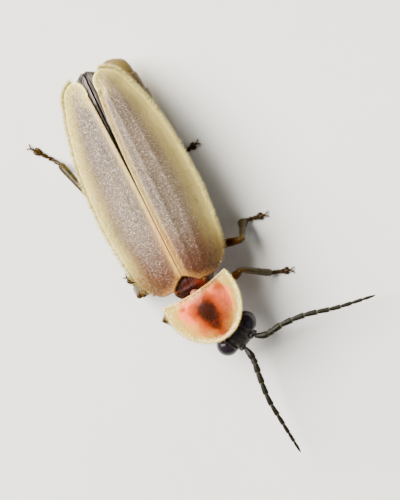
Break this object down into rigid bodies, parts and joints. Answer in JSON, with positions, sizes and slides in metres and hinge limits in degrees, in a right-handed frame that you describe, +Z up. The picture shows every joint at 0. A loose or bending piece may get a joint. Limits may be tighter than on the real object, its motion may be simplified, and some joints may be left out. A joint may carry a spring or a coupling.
{
  "type": "firefly",
  "caption": "Life-size firefly beetle at rest, with closed wing cases, a shield over its neck, black head and feelers, and six legs on flat soles.",
  "frame": {"origin": "on the floor, under the middle of the whole insect's box", "axes": "+X to the animal's left, +Y to its tail, +Z up; the head faces -Y"},
  "size_m": [0.0106, 0.018, 0.0033],
  "materials": {
    "wing_case": "satin, fine short hairs",
    "hind_wing": "thin membrane, faint lilac sheen",
    "shield": "satin, translucent edge",
    "scutellum": "gloss",
    "head_black": "satin",
    "eye_black": "gloss",
    "antenna": "fine short hairs",
    "leg": "satin, fine short hairs",
    "body": "satin",
    "lantern": "satin"
  },
  "bodies": {
    "root": {"elytron_left": "wing_case", "elytron_right": "wing_case", "hind_wing_left": "hind_wing", "hind_wing_right": "hind_wing", "pronotum": "shield", "scutellum": "scutellum", "head": "head_black", "mouthparts": "head_black", "eye_left": "eye_black", "eye_right": "eye_black", "antenna_left": "antenna", "antenna_right": "antenna", "leg_front_left": "leg", "leg_front_right": "leg", "leg_middle_left": "leg", "leg_middle_right": "leg", "leg_hind_left": "leg", "leg_hind_right": "leg", "prothorax": "body", "thorax": "body", "abdomen": "body", "lantern": "lantern"}
  },
  "joints": []
}
